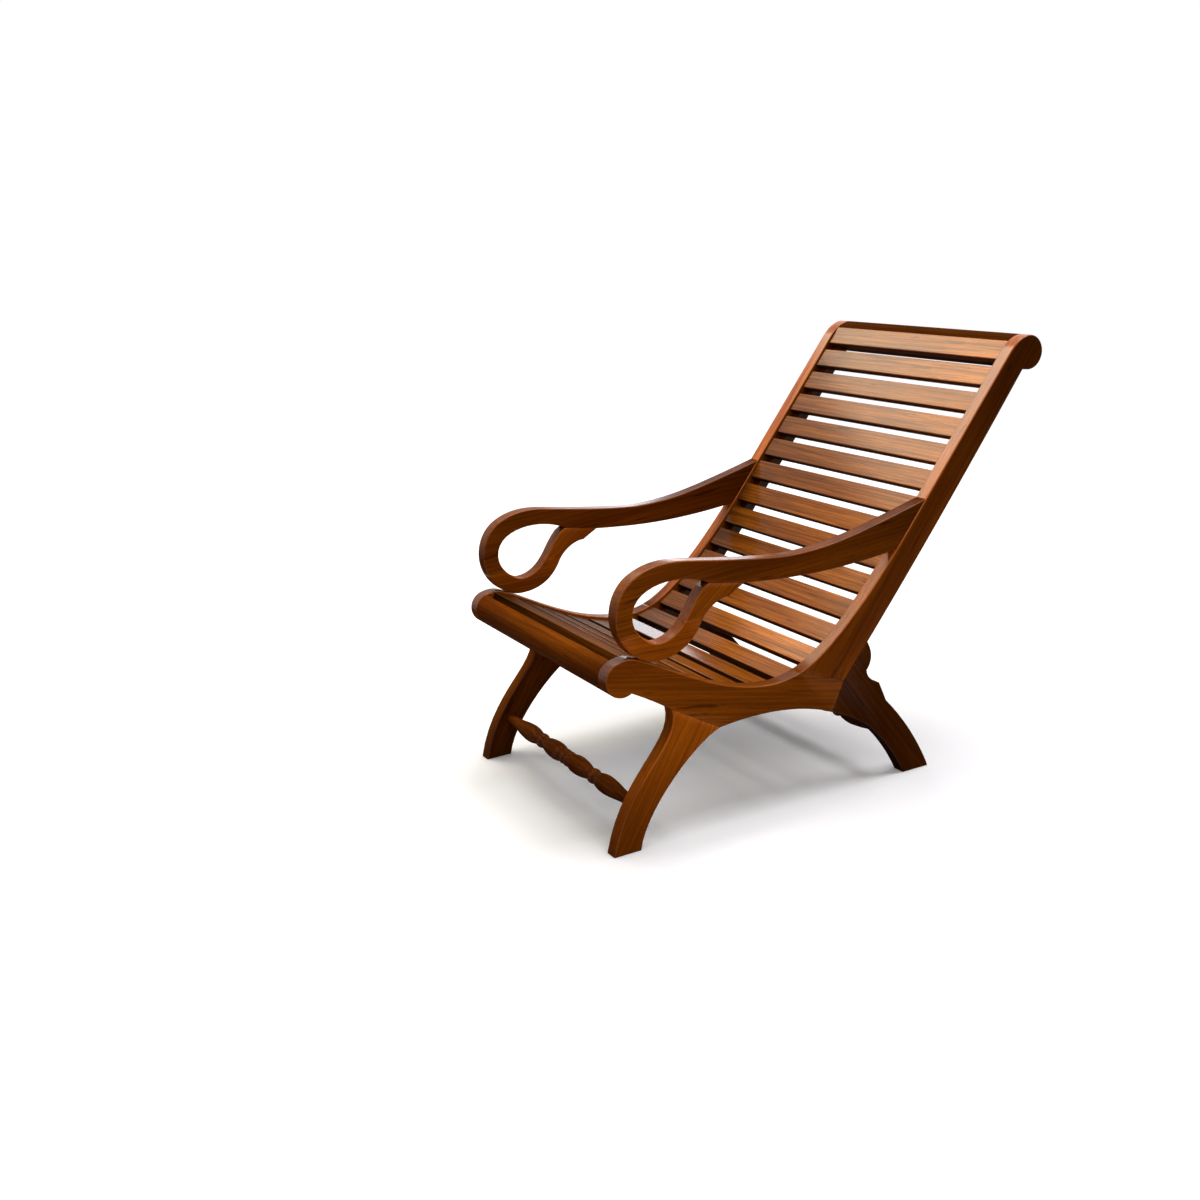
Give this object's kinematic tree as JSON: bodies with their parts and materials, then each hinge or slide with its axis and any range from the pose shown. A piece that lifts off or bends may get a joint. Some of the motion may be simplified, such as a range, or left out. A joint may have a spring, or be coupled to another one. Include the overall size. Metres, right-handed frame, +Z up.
{
  "type": "planters chair",
  "caption": "Reclining hardwood planters chair with a slatted seat and back in one sweep, looped arms, scrolled side frames, curved splayed legs and turned stretchers.",
  "frame": {"origin": "on the floor under the middle of the chair's overall box", "axes": "+Z up, the chair faces -Y, +X is the side of a sitter's left hand"},
  "size_m": [0.65, 1.1, 0.913],
  "materials": {
    "frame_hardwood": "satin lacquer on teak-like hardwood, dark red brown",
    "slat_hardwood": "satin lacquer on teak-like hardwood, warm brown",
    "cross_hardwood": "satin lacquer on teak-like hardwood, dark brown"
  },
  "bodies": {
    "root": {"left_seat_rail": "frame_hardwood", "left_back_stile": "frame_hardwood", "left_front_leg": "frame_hardwood", "left_rear_leg": "frame_hardwood", "left_arm": "frame_hardwood", "left_arm_bowl": "frame_hardwood", "left_arm_tail": "frame_hardwood", "left_seat_cleat": "cross_hardwood", "left_back_cleat": "cross_hardwood", "right_seat_rail": "frame_hardwood", "right_back_stile": "frame_hardwood", "right_front_leg": "frame_hardwood", "right_rear_leg": "frame_hardwood", "right_arm": "frame_hardwood", "right_arm_bowl": "frame_hardwood", "right_arm_tail": "frame_hardwood", "right_seat_cleat": "cross_hardwood", "right_back_cleat": "cross_hardwood", "crest_rail": "frame_hardwood", "front_roll_rail": "frame_hardwood", "front_stretcher": "cross_hardwood", "rear_stretcher": "cross_hardwood", "back_slat_1": "slat_hardwood", "back_slat_2": "slat_hardwood", "back_slat_3": "slat_hardwood", "back_slat_4": "slat_hardwood", "back_slat_5": "slat_hardwood", "back_slat_6": "slat_hardwood", "back_slat_7": "slat_hardwood", "back_slat_8": "slat_hardwood", "back_slat_9": "slat_hardwood", "back_slat_10": "slat_hardwood", "back_slat_11": "slat_hardwood", "back_slat_12": "slat_hardwood", "back_slat_13": "slat_hardwood", "seat_slat_1": "slat_hardwood", "seat_slat_2": "slat_hardwood", "seat_slat_3": "slat_hardwood", "seat_slat_4": "slat_hardwood", "seat_slat_5": "slat_hardwood", "seat_slat_6": "slat_hardwood", "seat_slat_7": "slat_hardwood"}
  },
  "joints": []
}
